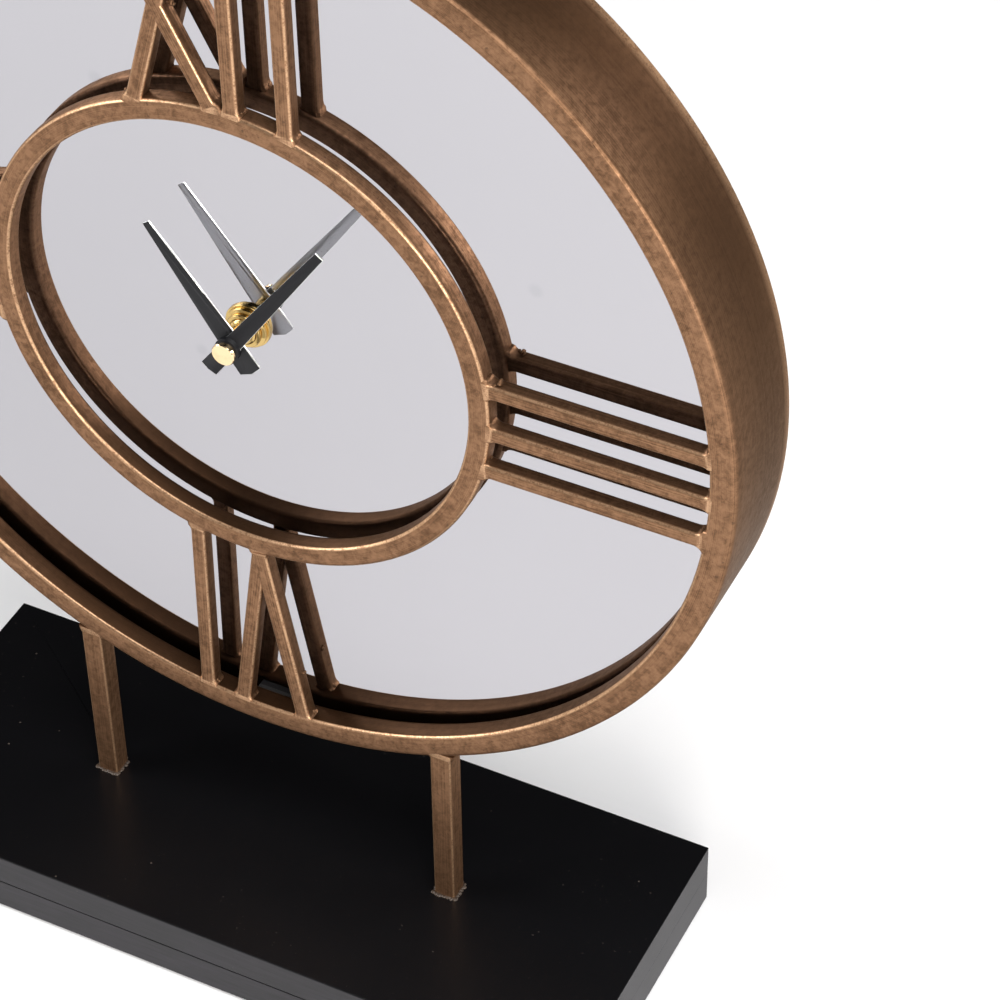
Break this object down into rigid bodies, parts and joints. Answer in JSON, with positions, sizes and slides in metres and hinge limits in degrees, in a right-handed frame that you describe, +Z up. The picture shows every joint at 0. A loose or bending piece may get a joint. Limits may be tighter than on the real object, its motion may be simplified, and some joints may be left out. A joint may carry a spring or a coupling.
{
  "type": "mantel clock",
  "caption": "Round open-grille mantel clock in antiqued bronze bar with a recessed mirror, Roman quarter numerals, quartz movement and a black block base on square legs.",
  "frame": {"origin": "centre of the base's footprint, on the surface the felt pads rest on", "axes": "dial faces -Y, +X to the viewer's right, +Z up"},
  "size_m": [0.3, 0.1, 0.373],
  "materials": {
    "bronze": "antiqued bronze plate, brushed and worn bright on the edges",
    "black_board": "black lacquered fibreboard, satin",
    "felt": "felt",
    "steel": "zinc plated",
    "mirror": "silvered float glass",
    "fibreboard": "raw hardboard",
    "rubber": "matt",
    "black_plastic": "moulded, fine texture",
    "white_plastic": "moulded acetal",
    "brass": "turned, polished",
    "hand_black": "stamped sheet, satin black front and bare back",
    "copper": "enamelled copper wire",
    "circuit": "solder mask",
    "cell": "printed sleeve with no lettering"
  },
  "bodies": {
    "clock_body": {"drum_band": "bronze", "outer_ring": "bronze", "inner_ring": "bronze", "leg_left": "bronze", "leg_right": "bronze", "xii_cross_through_bar": "bronze", "xii_cross_half_bar_a": "bronze", "xii_cross_half_bar_b": "bronze", "xii_bar_1": "bronze", "xii_bar_2": "bronze", "iii_bar_1": "bronze", "iii_bar_2": "bronze", "iii_bar_3": "bronze", "vi_bar": "bronze", "vi_v_long_bar": "bronze", "vi_v_short_bar": "bronze", "ix_bar": "bronze", "ix_cross_through_bar": "bronze", "ix_cross_half_bar_a": "bronze", "ix_cross_half_bar_b": "bronze", "base_top_board": "black_board", "base_bottom_board": "black_board", "felt_pad_1": "felt", "felt_pad_2": "felt", "felt_pad_3": "felt", "felt_pad_4": "felt", "leg_screw_left": "steel", "leg_screw_right": "steel", "retaining_clip_1": "steel", "retaining_clip_2": "steel", "retaining_clip_3": "steel", "stator": "steel", "positive_contact": "steel", "negative_contact": "steel", "mirror": "mirror", "backing_board": "fibreboard", "rubber_washer": "rubber", "mirror_spacer_1": "rubber", "mirror_spacer_2": "rubber", "mirror_spacer_3": "rubber", "movement_case": "black_plastic", "movement_cover": "black_plastic", "threaded_bush": "brass", "brass_washer": "brass", "round_nut": "brass", "coil": "copper", "circuit_board": "circuit"},
    "hour": {"hour_hand": "hand_black", "hour_wheel": "brass"},
    "minute": {"minute_hand": "hand_black", "minute_arbor": "brass", "cap_nut": "brass"},
    "motion_work": {"motion_work_wheel": "white_plastic", "setting_knob": "white_plastic"},
    "second": {"second_wheel": "white_plastic"},
    "third": {"third_wheel": "white_plastic"},
    "centre": {"centre_wheel": "brass"},
    "intermediate": {"intermediate_wheel": "white_plastic"},
    "rotor": {"rotor": "white_plastic"},
    "battery": {"battery": "cell"}
  },
  "joints": [
    {"name": "minute_turn", "type": "hinge", "parent": "clock_body", "child": "minute", "pos_m": [0, 0.01, 0.223], "axis": [0, 1, 0], "continuous": true},
    {"name": "hour_turn", "type": "hinge", "parent": "clock_body", "child": "hour", "pos_m": [0, 0.01, 0.223], "axis": [0, 1, 0], "continuous": true},
    {"name": "setting_turn", "type": "hinge", "parent": "clock_body", "child": "motion_work", "pos_m": [0.00908, 0.016, 0.22543], "axis": [0, 1, 0], "continuous": true},
    {"name": "second_turn", "type": "hinge", "parent": "clock_body", "child": "second", "pos_m": [0, 0.022, 0.223], "axis": [0, 1, 0], "continuous": true},
    {"name": "third_turn", "type": "hinge", "parent": "clock_body", "child": "third", "pos_m": [-0.00831, 0.02, 0.22523], "axis": [0, 1, 0], "continuous": true},
    {"name": "centre_turn", "type": "hinge", "parent": "clock_body", "child": "centre", "pos_m": [0, 0.0185, 0.223], "axis": [0, 1, 0], "continuous": true},
    {"name": "intermediate_turn", "type": "hinge", "parent": "clock_body", "child": "intermediate", "pos_m": [0, 0.024, 0.232], "axis": [0, 1, 0], "continuous": true},
    {"name": "rotor_turn", "type": "hinge", "parent": "clock_body", "child": "rotor", "pos_m": [0.0045, 0.02, 0.23979], "axis": [0, 1, 0], "continuous": true},
    {"name": "battery_slide", "type": "slide", "parent": "clock_body", "child": "battery", "axis": [0, 1, 0], "range_m": [0, 0.04]}
  ],
  "couplings": [
    {"joint": "setting_turn", "follows": "minute_turn", "ratio": -0.33333},
    {"joint": "hour_turn", "follows": "minute_turn", "ratio": 0.083333},
    {"joint": "intermediate_turn", "follows": "second_turn", "ratio": -6},
    {"joint": "rotor_turn", "follows": "second_turn", "ratio": 30},
    {"joint": "third_turn", "follows": "second_turn", "ratio": -0.125},
    {"joint": "centre_turn", "follows": "second_turn", "ratio": 0.016667}
  ]
}
